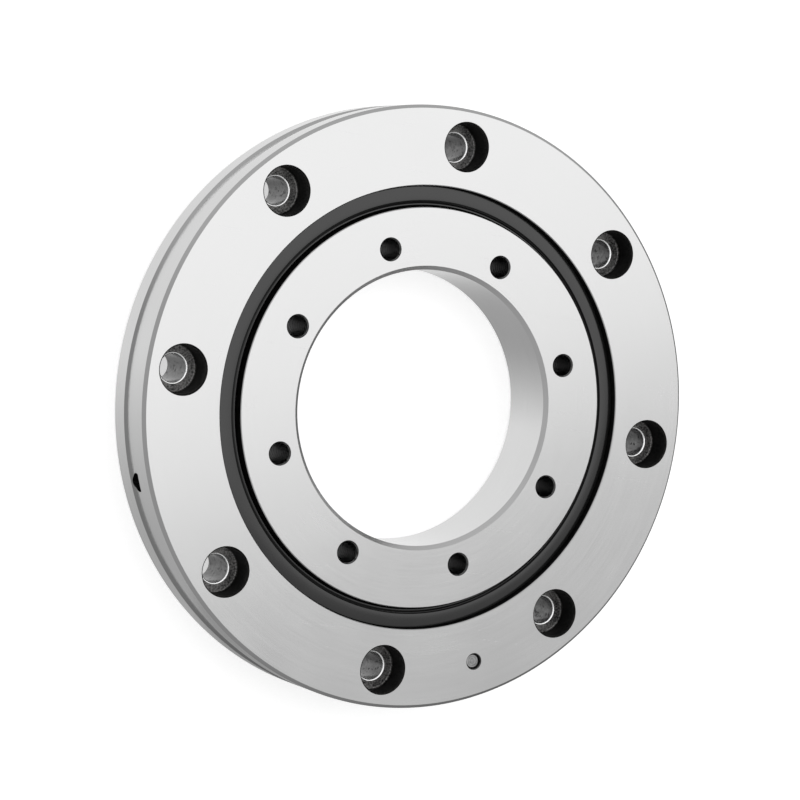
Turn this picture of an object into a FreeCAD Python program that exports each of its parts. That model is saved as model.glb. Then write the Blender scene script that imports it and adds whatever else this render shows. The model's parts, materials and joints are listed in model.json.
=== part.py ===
import FreeCAD, Part
import math
import os

# Crossed roller bearing with bolt holes in both rings, in millimetres.
# The origin is the centre of the rear face. Z is the spin axis and points
# to the front, the face that the outer bolt heads sink into. The first
# outer bolt hole lies on +X.

# Envelope of the two rings, built up outward from the bore
BORE_DIAMETER = 55.0
INNER_RING_DEPTH = 15.0
OUTER_RING_DEPTH = 17.5
WIDTH = 15.0
RIM_CHAMFER = 0.65
BORE_CHAMFER = 0.8
EDGE_BREAK = 0.15

# Rollers, and the square channel that they cross in
ROLLER_COUNT = 26
ROLLER_DIAMETER = 7.0
ROLLER_CHAMFER = 0.3
RACEWAY_CLEARANCE = 0.06
ROLLER_END_CLEARANCE = 0.16
LAND_GAP = 1.8
RELIEF_WIDTH = 0.7
RELIEF_DEPTH = 0.25

# Spacers that keep the rollers apart
SPACER_THICKNESS = 5.2
SPACER_SIDE_CLEARANCE = 0.26
SPACER_CLEARANCE = 0.08
SPACER_OIL_HOLE = 1.4

# Lip seals, one at each face
SEAL_THICKNESS = 1.25
SEAL_SEAT_STEP = 0.75
SEAL_RUN_STEP = 1.75
SEAL_ROLLER_GAP = 0.23
SEAL_SHOULDER_GAP = 0.2
SEAL_FIT = 0.02
SEAL_LIP_CLEARANCE = 0.08
SEAL_LIP_WIDTH = 0.7
SEAL_LIP_LAND = 0.22
SEAL_LIP_HEIGHT = 0.95
SEAL_GROOVE_WIDTH = 0.65
SEAL_GROOVE_FLOOR = 0.5

# Bolt holes in the outer ring
OUTER_BOLT_COUNT = 8
OUTER_BOLT_TO_RIM = 7.5
OUTER_BOLT_HOLE = 5.5
COUNTERBORE_DIAMETER = 9.5
COUNTERBORE_DEPTH = 5.4
COUNTERBORE_CHAMFER = 0.2
OUTER_HOLE_CHAMFER = 0.3

# Tapped holes in the inner ring, drilled to the thread's core diameter
INNER_BOLT_COUNT = 8
INNER_BOLT_TO_BORE = 5.0
INNER_BOLT_HOLE = 4.2
INNER_HOLE_CHAMFER = 0.25
INNER_BOLT_ANGLE = 23.7

# Oil groove round the rim, and the oil hole that runs in from it
OIL_GROOVE_WIDTH = 4.4
OIL_GROOVE_DEPTH = 0.5
OIL_HOLE_DIAMETER = 3.8
OIL_HOLE_ANGLE = 202.5

# Filler plug that closes the rollers' loading bore, and its pin
PLUG_MOUTH_MARGIN = 0.135
PLUG_ANGLE = 292.5
PLUG_FIT = 0.01
PIN_DIAMETER = 3.0
PIN_TO_RIM = 7.2
PIN_RECESS = 0.7
PIN_CHAMFER = 0.25
PIN_FIT = 0.01
PIN_HOLE_CHAMFER = 0.15

# Sizes that follow from those above
MID_PLANE = WIDTH / 2
BORE_RADIUS = BORE_DIAMETER / 2
PITCH_RADIUS = BORE_RADIUS + INNER_RING_DEPTH
OUTER_RADIUS = PITCH_RADIUS + OUTER_RING_DEPTH
CHANNEL_SIDE = ROLLER_DIAMETER + 2 * RACEWAY_CLEARANCE
CHANNEL_REACH = CHANNEL_SIDE / math.sqrt(2)
ROLLER_LENGTH = CHANNEL_SIDE - 2 * ROLLER_END_CLEARANCE
ROLLER_REACH = (ROLLER_LENGTH / 2 + ROLLER_DIAMETER / 2 - ROLLER_CHAMFER) / math.sqrt(2)
SPACER_DIAMETER = CHANNEL_SIDE - 2 * SPACER_SIDE_CLEARANCE
OUTER_LAND_RADIUS = PITCH_RADIUS + LAND_GAP / 2
INNER_LAND_RADIUS = PITCH_RADIUS - LAND_GAP / 2
RACEWAY_HALF_WIDTH = CHANNEL_REACH - LAND_GAP / 2
SEAL_SEAT_RADIUS = OUTER_LAND_RADIUS + SEAL_SEAT_STEP
SEAL_RUN_RADIUS = INNER_LAND_RADIUS - SEAL_RUN_STEP
SEAL_SEAT_DEPTH = MID_PLANE - ROLLER_REACH - SEAL_ROLLER_GAP
SHOULDER_DEPTH = SEAL_SEAT_DEPTH + SEAL_SHOULDER_GAP
OUTER_BOLT_RADIUS = OUTER_RADIUS - OUTER_BOLT_TO_RIM
INNER_BOLT_RADIUS = BORE_RADIUS + INNER_BOLT_TO_BORE
PIN_RADIUS = OUTER_RADIUS - PIN_TO_RIM
PLUG_BORE = 2 * (RACEWAY_HALF_WIDTH - PLUG_MOUTH_MARGIN)
ROLLER_STEP = 360 / ROLLER_COUNT
RACEWAY_ANGLE = 45
OVERCUT = 1.0

X_AXIS = FreeCAD.Vector(1, 0, 0)
Y_AXIS = FreeCAD.Vector(0, 1, 0)
Z_AXIS = FreeCAD.Vector(0, 0, 1)
ORIGIN = FreeCAD.Vector(0, 0, 0)


def section_point(radius, height):
    """A point of a ring's section, in the plane through the spin axis."""
    return FreeCAD.Vector(radius, 0, height)


def outline_edges(points):
    """Straight edges that join the points in turn."""
    return [Part.LineSegment(a, b).toShape() for a, b in zip(points, points[1:])]


def revolved(edges):
    """A solid of revolution about the spin axis from a closed outline."""
    face = Part.Face(Part.Wire(edges))
    return face.revolve(ORIGIN, Z_AXIS, 360)


def turned(shape, angle):
    """A copy of a shape, turned about the spin axis by an angle in degrees."""
    copy = shape.copy()
    copy.rotate(ORIGIN, Z_AXIS, angle)
    return copy


def mirrored_to_rear(points):
    """The points of the front half again, in the other order at the rear."""
    return [section_point(p.x, WIDTH - p.z) for p in reversed(points)]


def raceway_points(direction):
    """Front half of one ring's V raceway, from its mouth to its relief.

    The direction is 1 for the outer ring, whose V opens inward, and -1 for
    the inner ring.
    """
    mouth = PITCH_RADIUS + direction * LAND_GAP / 2
    apex = PITCH_RADIUS + direction * CHANNEL_REACH
    half = RELIEF_WIDTH / 2
    return [
        section_point(mouth, MID_PLANE + RACEWAY_HALF_WIDTH),
        section_point(apex - direction * half, MID_PLANE + half),
        section_point(apex + direction * RELIEF_DEPTH, MID_PLANE + half),
    ]


def outer_ring_body():
    """The outer ring before its holes: raceway, seal seats and oil groove."""
    front_half = [
        section_point(OUTER_RADIUS, MID_PLANE + OIL_GROOVE_WIDTH / 2),
        section_point(OUTER_RADIUS, WIDTH - RIM_CHAMFER),
        section_point(OUTER_RADIUS - RIM_CHAMFER, WIDTH),
        section_point(SEAL_SEAT_RADIUS + EDGE_BREAK, WIDTH),
        section_point(SEAL_SEAT_RADIUS, WIDTH - EDGE_BREAK),
        section_point(SEAL_SEAT_RADIUS, WIDTH - SEAL_SEAT_DEPTH),
        section_point(OUTER_LAND_RADIUS, WIDTH - SEAL_SEAT_DEPTH),
    ] + raceway_points(1)
    points = front_half + mirrored_to_rear(front_half)
    groove = Part.Arc(
        points[-1],
        section_point(OUTER_RADIUS - OIL_GROOVE_DEPTH, MID_PLANE),
        points[0],
    )
    return revolved(outline_edges(points) + [groove.toShape()])


def inner_ring_body():
    """The inner ring before its holes: raceway and the seal lips' tracks."""
    front_half = [
        section_point(BORE_RADIUS, WIDTH - BORE_CHAMFER),
        section_point(BORE_RADIUS + BORE_CHAMFER, WIDTH),
        section_point(SEAL_RUN_RADIUS - EDGE_BREAK, WIDTH),
        section_point(SEAL_RUN_RADIUS, WIDTH - EDGE_BREAK),
        section_point(SEAL_RUN_RADIUS, WIDTH - SHOULDER_DEPTH),
        section_point(INNER_LAND_RADIUS, WIDTH - SHOULDER_DEPTH),
    ] + raceway_points(-1)
    points = front_half + mirrored_to_rear(front_half)
    return revolved(outline_edges(points + points[:1]))


def stepped_hole(steps):
    """A drill shape along Z from its height and radius steps, front first."""
    points = [section_point(0, steps[0][0])]
    points += [section_point(radius, height) for height, radius in steps]
    points += [section_point(0, steps[-1][0]), points[0]]
    return revolved(outline_edges(points))


def chamfer_steps(height, radius, chamfer, outward):
    """The widening steps where a hole of this radius meets a face.

    Outward is 1 where the face looks to +Z and -1 where it looks to -Z.
    """
    mouth = [
        (height + outward * OVERCUT, radius + chamfer + OVERCUT),
        (height - outward * chamfer, radius),
    ]
    return mouth if outward > 0 else mouth[::-1]


def on_circle(shape, radius, count, first_angle):
    """Copies of a shape spaced evenly on a circle about the spin axis."""
    placed = shape.copy()
    placed.translate(FreeCAD.Vector(radius, 0, 0))
    step = 360 / count
    return [turned(placed, first_angle + step * i) for i in range(count)]


def outer_bolt_holes():
    """Through holes with counterbores for socket head screws."""
    seat = WIDTH - COUNTERBORE_DEPTH
    hole = OUTER_BOLT_HOLE / 2
    head = COUNTERBORE_DIAMETER / 2
    steps = chamfer_steps(WIDTH, head, COUNTERBORE_CHAMFER, 1) + [
        (seat, head),
        (seat, hole + OUTER_HOLE_CHAMFER),
        (seat - OUTER_HOLE_CHAMFER, hole),
    ] + chamfer_steps(0, hole, OUTER_HOLE_CHAMFER, -1)
    drill = stepped_hole(steps)
    return on_circle(drill, OUTER_BOLT_RADIUS, OUTER_BOLT_COUNT, 0)


def inner_bolt_holes():
    """Tapped holes that run right through the inner ring."""
    hole = INNER_BOLT_HOLE / 2
    steps = chamfer_steps(WIDTH, hole, INNER_HOLE_CHAMFER, 1)
    steps += chamfer_steps(0, hole, INNER_HOLE_CHAMFER, -1)
    drill = stepped_hole(steps)
    return on_circle(drill, INNER_BOLT_RADIUS, INNER_BOLT_COUNT, INNER_BOLT_ANGLE)


def pin_hole():
    """The hole along Z that the filler plug's pin is driven into."""
    radius = PIN_DIAMETER / 2 + PIN_FIT
    steps = chamfer_steps(WIDTH, radius, PIN_HOLE_CHAMFER, 1)
    steps += chamfer_steps(0, radius, PIN_HOLE_CHAMFER, -1)
    return on_circle(stepped_hole(steps), PIN_RADIUS, 1, PLUG_ANGLE)[0]


def radial_cylinder(diameter, angle):
    """A cylinder along a radius, from the rollers' pitch circle past the rim."""
    start = FreeCAD.Vector(PITCH_RADIUS, 0, MID_PLANE)
    length = OUTER_RADIUS - PITCH_RADIUS + OVERCUT
    return turned(Part.makeCylinder(diameter / 2, length, start, X_AXIS), angle)


def outer_ring():
    """The outer ring with its bolt holes, plug bore, pin hole and oil hole."""
    cuts = outer_bolt_holes()
    cuts.append(radial_cylinder(PLUG_BORE, PLUG_ANGLE))
    cuts.append(pin_hole())
    cuts.append(radial_cylinder(OIL_HOLE_DIAMETER, OIL_HOLE_ANGLE))
    return outer_ring_body().cut(cuts)


def inner_ring():
    """The inner ring with its tapped holes."""
    return inner_ring_body().cut(inner_bolt_holes())


def filler_plug():
    """The plug, ground to the same raceway and rim as the ring it closes."""
    blank = radial_cylinder(PLUG_BORE - 2 * PLUG_FIT, PLUG_ANGLE)
    return blank.common(outer_ring_body()).cut(pin_hole())


def plug_pin():
    """The pin that locks the filler plug, sunk a little below both faces."""
    radius = PIN_DIAMETER / 2
    bottom = PIN_RECESS
    top = WIDTH - PIN_RECESS
    steps = [
        (top, radius - PIN_CHAMFER),
        (top - PIN_CHAMFER, radius),
        (bottom + PIN_CHAMFER, radius),
        (bottom, radius - PIN_CHAMFER),
    ]
    return on_circle(stepped_hole(steps), PIN_RADIUS, 1, PLUG_ANGLE)[0]


def front_seal():
    """The front seal: a flat web in the outer ring and a lip to the inner."""
    base = WIDTH - SEAL_SEAT_DEPTH
    crown = base + SEAL_THICKNESS
    groove_floor = base + SEAL_GROOVE_FLOOR
    ridge = base + SEAL_LIP_HEIGHT
    rim = SEAL_SEAT_RADIUS - SEAL_FIT
    lip_edge = SEAL_RUN_RADIUS + SEAL_LIP_WIDTH
    web_edge = lip_edge + SEAL_GROOVE_WIDTH
    tip = SEAL_RUN_RADIUS + SEAL_LIP_CLEARANCE
    points = [
        section_point(rim, base),
        section_point(rim, crown - EDGE_BREAK),
        section_point(rim - EDGE_BREAK, crown),
        section_point(web_edge, crown),
        section_point(web_edge - EDGE_BREAK, groove_floor),
        section_point(lip_edge, ridge),
        section_point(lip_edge - SEAL_LIP_LAND, ridge),
        section_point(tip, groove_floor),
        section_point(tip, groove_floor - EDGE_BREAK),
        section_point(lip_edge, base),
    ]
    return revolved(outline_edges(points + points[:1]))


def rear_seal():
    """The rear seal, the front one's mirror image."""
    middle = FreeCAD.Vector(0, 0, MID_PLANE)
    return front_seal().mirror(middle, Z_AXIS)


def tilt_of(index):
    """Angle of a roller's axis from the spin axis: neighbours lie crosswise."""
    return RACEWAY_ANGLE if index % 2 == 0 else -RACEWAY_ANGLE


def in_channel(shape, tilt, angle):
    """A shape made about Z at the origin, tilted and set in the channel."""
    placed = shape.copy()
    placed.rotate(ORIGIN, Y_AXIS, tilt)
    placed.translate(FreeCAD.Vector(PITCH_RADIUS, 0, MID_PLANE))
    return turned(placed, angle)


def roller(index):
    """One roller, a chamfered cylinder across the channel."""
    radius = ROLLER_DIAMETER / 2
    end = ROLLER_LENGTH / 2
    steps = [
        (end, radius - ROLLER_CHAMFER),
        (end - ROLLER_CHAMFER, radius),
        (ROLLER_CHAMFER - end, radius),
        (-end, radius - ROLLER_CHAMFER),
    ]
    return in_channel(stepped_hole(steps), tilt_of(index), ROLLER_STEP * index)


def spacer(index):
    """One spacer: a disc hollowed on both sides to cradle crossed rollers."""
    half = SPACER_THICKNESS / 2
    disc = Part.makeCylinder(
        SPACER_DIAMETER / 2,
        SPACER_THICKNESS,
        FreeCAD.Vector(PITCH_RADIUS, -half, MID_PLANE),
        Y_AXIS,
    )
    oil_hole = Part.makeCylinder(
        SPACER_OIL_HOLE / 2,
        SPACER_THICKNESS,
        FreeCAD.Vector(PITCH_RADIUS, -half, MID_PLANE),
        Y_AXIS,
    )
    saddle = Part.makeCylinder(
        ROLLER_DIAMETER / 2 + SPACER_CLEARANCE,
        2 * ROLLER_DIAMETER,
        FreeCAD.Vector(0, 0, -ROLLER_DIAMETER),
    )
    cuts = [
        in_channel(saddle, tilt_of(index), -ROLLER_STEP / 2),
        in_channel(saddle, tilt_of(index + 1), ROLLER_STEP / 2),
        oil_hole,
    ]
    return turned(disc.cut(cuts), ROLLER_STEP * (index + 0.5))


def pieces():
    """Every separate piece of the bearing, by name."""
    named = {
        "outer_ring": outer_ring(),
        "inner_ring": inner_ring(),
        "front_seal": front_seal(),
        "rear_seal": rear_seal(),
        "filler_plug": filler_plug(),
        "plug_pin": plug_pin(),
    }
    for index in range(ROLLER_COUNT):
        named["roller_%02d" % (index + 1)] = roller(index)
        named["spacer_%02d" % (index + 1)] = spacer(index)
    return named


def single_solid(shape):
    """The one solid that a cut or a common leaves inside its compound."""
    return shape.Solids[0] if len(shape.Solids) == 1 else shape


os.makedirs("parts", exist_ok=True)
for name, shape in pieces().items():
    solid = single_solid(shape)
    print("%-12s %d solid, %10.2f mm3, valid %s"
          % (name, len(solid.Solids), solid.Volume, solid.isValid()))
    solid.exportStep("parts/%s.step" % name)
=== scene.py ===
# %% [markdown]
# # A crossed roller bearing
#
# This lesson dresses a packed bearing: two ground steel rings with bolt holes, rubber seals between
# them, and rollers and spacers inside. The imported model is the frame, so every piece made here sits
# where the frame says, in metres, with the spin axis on Z and the rear face on the floor.

import json
import math

import bmesh
import bpy
from mathutils import Matrix, Vector

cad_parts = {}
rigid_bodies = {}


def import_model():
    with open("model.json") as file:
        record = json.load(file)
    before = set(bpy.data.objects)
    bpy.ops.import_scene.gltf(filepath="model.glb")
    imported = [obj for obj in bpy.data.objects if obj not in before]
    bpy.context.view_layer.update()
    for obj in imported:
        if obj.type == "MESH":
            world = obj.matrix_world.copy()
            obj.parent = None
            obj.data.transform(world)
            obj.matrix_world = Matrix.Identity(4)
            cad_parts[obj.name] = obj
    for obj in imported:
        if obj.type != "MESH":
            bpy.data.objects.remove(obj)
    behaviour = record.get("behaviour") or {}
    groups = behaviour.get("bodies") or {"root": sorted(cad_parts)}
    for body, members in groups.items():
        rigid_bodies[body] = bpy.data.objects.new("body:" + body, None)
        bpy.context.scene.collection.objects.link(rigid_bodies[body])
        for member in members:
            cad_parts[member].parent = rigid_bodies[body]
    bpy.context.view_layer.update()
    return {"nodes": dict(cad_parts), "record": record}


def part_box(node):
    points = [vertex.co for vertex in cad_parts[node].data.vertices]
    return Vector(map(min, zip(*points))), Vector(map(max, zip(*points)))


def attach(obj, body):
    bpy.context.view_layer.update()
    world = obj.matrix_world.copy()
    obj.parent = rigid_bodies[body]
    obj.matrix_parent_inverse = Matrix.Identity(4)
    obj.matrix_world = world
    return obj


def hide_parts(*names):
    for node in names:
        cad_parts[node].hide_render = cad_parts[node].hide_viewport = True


for leftover in list(bpy.data.objects):
    bpy.data.objects.remove(leftover)
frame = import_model()

# %% [markdown]
# ## Sizes
#
# The main sizes come from the frame: its mounts give the bore, the rim and the two bolt circles, and
# the boxes of its nodes give the width and the places of the seal and of the pin. The small details
# of a turned section, such as chamfers, are written here in millimetres, once each.

# %% Sizes from the frame
MM = 0.001
mounts = {mount["name"]: mount for mount in frame["record"]["mounts"]}


def mount_size(name, dimension):
    """One size of a mount, as the record gives it."""
    return mounts[name]["dims"][dimension]


def highest(node):
    """The height of a node's top, in millimetres."""
    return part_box(node)[1].z / MM


BORE_RADIUS = mount_size("bore", "r_mm")
OUTER_RADIUS = mount_size("rim", "r_mm")
OUTER_BOLT_CIRCLE = mount_size("outer_bolts", "pcd_mm") / 2
INNER_BOLT_CIRCLE = mount_size("inner_bolts", "pcd_mm") / 2
WIDTH = highest("outer_ring")
MID_PLANE = WIDTH / 2
SEAL_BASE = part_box("front_seal")[0].z / MM
SEAL_CROWN = highest("front_seal")
PIN_TOP = highest("plug_pin")
pin_middle = (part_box("plug_pin")[0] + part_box("plug_pin")[1]) / 2
PIN_CIRCLE = pin_middle.xy.length / MM
PLUG_ANGLE = math.atan2(pin_middle.y, pin_middle.x)
print("bore %.1f, rim %.1f, width %.1f mm" % (2 * BORE_RADIUS, 2 * OUTER_RADIUS, WIDTH))

# %% Sizes of the details
RIM_CHAMFER = 0.65
BORE_CHAMFER = 0.8
EDGE_BREAK = 0.15
OIL_GROOVE_WIDTH = 4.4
OIL_GROOVE_DEPTH = 0.5
OIL_GROOVE_SLOPE = math.radians(34)

INNER_RING_DEPTH = 15.0
PITCH_RADIUS = BORE_RADIUS + INNER_RING_DEPTH
CHANNEL_SIDE = 7.12
CHANNEL_REACH = CHANNEL_SIDE / math.sqrt(2)
LAND_GAP = 1.8
RELIEF_WIDTH = 0.7
RELIEF_DEPTH = 0.25
OUTER_LAND = PITCH_RADIUS + LAND_GAP / 2
INNER_LAND = PITCH_RADIUS - LAND_GAP / 2
SEAL_SEAT_STEP = 0.75
SEAL_RUN_STEP = 1.75
SEAL_SEAT = OUTER_LAND + SEAL_SEAT_STEP
SEAL_RUN = INNER_LAND - SEAL_RUN_STEP
SHOULDER_DROP = 0.2

COUNTERBORE_RADIUS = 4.75
COUNTERBORE_DEPTH = 5.4
COUNTERBORE_CHAMFER = 0.27
COUNTERBORE_CORNER = 0.35
OUTER_HOLE_CHAMFER = 0.3
OUTER_HOLE_ROUND = 0.48
ROUND_STEPS = 6
THREAD_CORE_RADIUS = mount_size("inner_bolts", "hole_r_mm")
THREAD_HEIGHT = 0.2
THREAD_PITCH = 0.8
COUNTERSINK_DEPTH = 0.28
OIL_HOLE_RADIUS = 1.9
PLUG_MOUTH_MARGIN = 0.135
PLUG_RADIUS = CHANNEL_REACH - LAND_GAP / 2 - PLUG_MOUTH_MARGIN
PLUG_GAP = 0.03
PIN_RADIUS = 1.5
PIN_GAP = 0.06
PIN_HOLE_CHAMFER = 0.15

INNER_BOLT_ANGLE = math.radians(23.7)
OIL_HOLE_ANGLE = math.radians(202.5)
QUARTER_TURN = math.pi / 2
EIGHTH_TURN = math.pi / 4
OVERCUT = 1.0

RING_SEGMENTS = 360
HOLE_SEGMENTS = 64
print("rollers on a circle of %.1f mm, seals from %.2f to %.2f mm"
      % (2 * PITCH_RADIUS, 2 * SEAL_RUN, 2 * SEAL_SEAT))

# %% [markdown]
# ## Small helpers for node trees
#
# Both the shapes and the finishes are node trees. One helper adds a node and fills its inputs, and it
# takes either a plain value or another node's output, so each tree below reads from top to bottom.

# %% Helper: add a node
def add(tree, kind, inputs=None, **settings):
    """A new node with its settings made and its inputs set or linked."""
    node = tree.nodes.new(kind)
    for name, value in settings.items():
        setattr(node, name, value)
    for name, value in (inputs or {}).items():
        if isinstance(value, bpy.types.NodeSocket):
            tree.links.new(value, node.inputs[name])
        else:
            node.inputs[name].default_value = value
    return node


def calculate(tree, operation, *values):
    """The output of one Math node."""
    return add(tree, "ShaderNodeMath", dict(enumerate(values)), operation=operation).outputs[0]


# %% Helper: start a geometry tree with named inputs
SOCKETS = {
    "Object": "NodeSocketObject",
    "Number": "NodeSocketFloat",
    "Whole": "NodeSocketInt",
    "Material": "NodeSocketMaterial",
}


def geometry_tree(name, **inputs):
    """An empty geometry tree, its input sockets by name, and its group output."""
    tree = bpy.data.node_groups.new(name, "GeometryNodeTree")
    tree.interface.new_socket("Geometry", in_out="INPUT", socket_type="NodeSocketGeometry")
    for label, kind in inputs.items():
        tree.interface.new_socket(label, in_out="INPUT", socket_type=SOCKETS[kind])
    tree.interface.new_socket("Geometry", in_out="OUTPUT", socket_type="NodeSocketGeometry")
    return tree, add(tree, "NodeGroupInput").outputs, add(tree, "NodeGroupOutput")


def finish_tree(tree, geometry, material, group_output, selection=True):
    """The tree's last two nodes: real geometry instead of copies, and its finish."""
    real = add(tree, "GeometryNodeRealizeInstances", {"Geometry": geometry})
    done = add(tree, "GeometryNodeSetMaterial", {
        "Geometry": real.outputs["Geometry"],
        "Selection": selection,
        "Material": material,
    })
    tree.links.new(done.outputs["Geometry"], group_output.inputs["Geometry"])


# %% Helper: run a tree on an object
def new_object(name, mesh=None):
    """An object in the scene, with an empty mesh unless one is given."""
    piece = bpy.data.objects.new(name, mesh or bpy.data.meshes.new(name))
    bpy.context.scene.collection.objects.link(piece)
    return piece


helpers = []


def helper_object(name, mesh=None):
    """An object that only helps to make pieces, and is cleared away at the end."""
    helpers.append(new_object(name, mesh))
    return helpers[-1]


def apply_tree(piece, tree, **values):
    """Adds the tree as a modifier, with each input set by its socket's identifier."""
    modifier = piece.modifiers.new(tree.name, "NODES")
    modifier.node_group = tree
    for item in tree.interface.items_tree:
        if item.item_type == "SOCKET" and item.in_out == "INPUT" and item.name in values:
            modifier[item.identifier] = values[item.name]
    return piece


# %% [markdown]
# ## Turning
#
# Rings, seals, pins and drills are all bodies of revolution. On the real bearing they come off a
# lathe. Here a section is drawn as a closed line of radius and height, and a tree sweeps it along a
# circle. A drill's section starts and ends on the axis, and merging its points closes the poles. The
# sweep draws heights downward, so the section is mirrored first and the faces are flipped after it.

# %% Tree: turn a section round the spin axis
CORNER_POINTS = 3
MERGE_DISTANCE = 1e-7
turning, given, group_output = geometry_tree(
    "turning", Section="Object", Rail="Number", Corner="Number", Segments="Whole", Finish="Material"
)
section = add(turning, "GeometryNodeObjectInfo", {"Object": given["Section"]})
outline = add(turning, "GeometryNodeMeshToCurve", {"Mesh": section.outputs["Geometry"]})
rounded = add(turning, "GeometryNodeFilletCurve", {
    "Curve": outline.outputs["Curve"],
    "Count": CORNER_POINTS,
    "Radius": given["Corner"],
    "Limit Radius": True,
}, mode="POLY")
minus_rail = calculate(turning, "MULTIPLY", given["Rail"], -1.0)
inward = add(turning, "ShaderNodeCombineXYZ", {"X": minus_rail})
profile = add(turning, "GeometryNodeTransform", {
    "Geometry": rounded.outputs["Curve"],
    "Translation": inward.outputs["Vector"],
    "Scale": (1.0, -1.0, 1.0),
})
circle = add(turning, "GeometryNodeCurvePrimitiveCircle", {
    "Resolution": given["Segments"],
    "Radius": given["Rail"],
})
rail = add(turning, "GeometryNodeSetCurveNormal", {"Curve": circle.outputs["Curve"]}, mode="Z_UP")
swept = add(turning, "GeometryNodeCurveToMesh", {
    "Curve": rail.outputs["Curve"],
    "Profile Curve": profile.outputs["Geometry"],
})
closed = add(turning, "GeometryNodeMergeByDistance", {
    "Geometry": swept.outputs["Mesh"],
    "Distance": MERGE_DISTANCE,
})
outward = add(turning, "GeometryNodeFlipFaces", {"Mesh": closed.outputs["Geometry"]})
finish_tree(turning, outward.outputs["Mesh"], given["Finish"], group_output)
print("turning tree:", len(turning.nodes), "nodes")


# %% Helper: draw a section and turn it
def draw_section(name, points, closed_line):
    """A line of points of radius and height in millimetres, as a mesh of edges."""
    last = len(points) - 1
    edges = [(i, i + 1) for i in range(last)] + ([(last, 0)] if closed_line else [])
    mesh = bpy.data.meshes.new(name)
    mesh.from_pydata([(radius * MM, height * MM, 0) for radius, height in points], edges, [])
    return helper_object(name, mesh)


def turned(name, points, rail_radius, finish, segments=RING_SEGMENTS, corner=0.0):
    """A body of revolution from a section that goes anticlockwise.

    A section that touches the axis is a solid core, so its line stays open there.
    """
    line = draw_section(name + "_section", points, closed_line=points[0][0] > 0)
    return apply_tree(
        helper_object(name), turning, Section=line, Rail=rail_radius * MM, Corner=corner * MM,
        Segments=segments, Finish=finish,
    )


# %% [markdown]
# ## Copies on a circle, and drilling
#
# A jig drills the same hole at even steps round the ring. The tree works out each hole's angle from
# its number, sets a drill there, and takes the drill away from the ring. A drill turned by a quarter
# turn lies along a radius, for the oil hole and for the plug's bore. Each drill brings its own
# finish, which the walls of its holes keep, and the last node gives the flat ends their ground finish.

# %% Nodes: copies of an object on a circle
PATTERN = {"Tool": "Object", "Count": "Whole", "Circle": "Number", "Height": "Number",
           "First": "Number", "Tilt": "Number"}


def copies_on_circle(tree, given):
    """Nodes that set copies of the tool at even steps about the spin axis."""
    number = add(tree, "GeometryNodeInputIndex").outputs["Index"]
    step = calculate(tree, "DIVIDE", math.tau, given["Count"])
    turn = calculate(tree, "MULTIPLY_ADD", number, step, given["First"])
    place = add(tree, "ShaderNodeCombineXYZ", {
        "X": calculate(tree, "MULTIPLY", calculate(tree, "COSINE", turn), given["Circle"]),
        "Y": calculate(tree, "MULTIPLY", calculate(tree, "SINE", turn), given["Circle"]),
        "Z": given["Height"],
    })
    points = add(tree, "GeometryNodePoints", {"Count": given["Count"], "Position": place.outputs[0]})
    tool = add(tree, "GeometryNodeObjectInfo", {"Object": given["Tool"], "As Instance": True})
    facing = add(tree, "ShaderNodeCombineXYZ", {"Y": given["Tilt"], "Z": turn})
    copies = add(tree, "GeometryNodeInstanceOnPoints", {
        "Points": points.outputs[0],
        "Instance": tool.outputs["Geometry"],
        "Rotation": facing.outputs[0],
    })
    return add(tree, "GeometryNodeRealizeInstances", {"Geometry": copies.outputs[0]}).outputs[0]


# %% Trees: cut with the tools, keep what is inside them, or set them in place
END_TOLERANCE = 1e-6


def machining_tree(name, operation):
    """A tree that cuts the body with tools on a circle, by one boolean operation."""
    tree, given, group_output = geometry_tree(name, **PATTERN, Middle="Number", Ground="Material")
    tools = copies_on_circle(tree, given)
    cut = add(tree, "GeometryNodeMeshBoolean", operation=operation, solver="EXACT")
    # A difference takes the body on its first input, and an intersection takes both on its second.
    body_input = 0 if operation == "DIFFERENCE" else 1
    tree.links.new(given["Geometry"], cut.inputs[body_input])
    tree.links.new(tools, cut.inputs[1])
    position = add(tree, "GeometryNodeInputPosition").outputs[0]
    height = add(tree, "ShaderNodeSeparateXYZ", {"Vector": position}).outputs["Z"]
    from_middle = calculate(tree, "ABSOLUTE", calculate(tree, "SUBTRACT", height, given["Middle"]))
    nearly_end = calculate(tree, "SUBTRACT", given["Middle"], END_TOLERANCE)
    at_end = calculate(tree, "GREATER_THAN", from_middle, nearly_end)
    finish_tree(tree, cut.outputs["Mesh"], given["Ground"], group_output, at_end)
    return tree


drilling = machining_tree("drilling", "DIFFERENCE")
keeping = machining_tree("keeping", "INTERSECT")

setting, given, group_output = geometry_tree("setting", **PATTERN, Finish="Material")
finish_tree(setting, copies_on_circle(setting, given), given["Finish"], group_output)

# %% Tree: give the walls between two radii their own finish
refinishing, given, group_output = geometry_tree(
    "refinishing", Inner="Number", Outer="Number", Top="Number", Finish="Material"
)
position = add(refinishing, "GeometryNodeInputPosition").outputs[0]
part = add(refinishing, "ShaderNodeSeparateXYZ", {"Vector": position}).outputs
flat = add(refinishing, "ShaderNodeCombineXYZ", {"X": part["X"], "Y": part["Y"]}).outputs[0]
radius = add(refinishing, "ShaderNodeVectorMath", {0: flat}, operation="LENGTH").outputs["Value"]
both_radii = calculate(refinishing, "ADD", given["Inner"], given["Outer"])
ring_middle = calculate(refinishing, "MULTIPLY", both_radii, 0.5)
half_width = calculate(refinishing, "SUBTRACT", given["Outer"], ring_middle)
from_ring = calculate(refinishing, "ABSOLUTE", calculate(refinishing, "SUBTRACT", radius, ring_middle))
chosen = calculate(
    refinishing, "MULTIPLY",
    calculate(refinishing, "LESS_THAN", from_ring, half_width),
    calculate(refinishing, "LESS_THAN", part["Z"], given["Top"]),
)
finish_tree(refinishing, given["Geometry"], given["Finish"], group_output, chosen)
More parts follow.
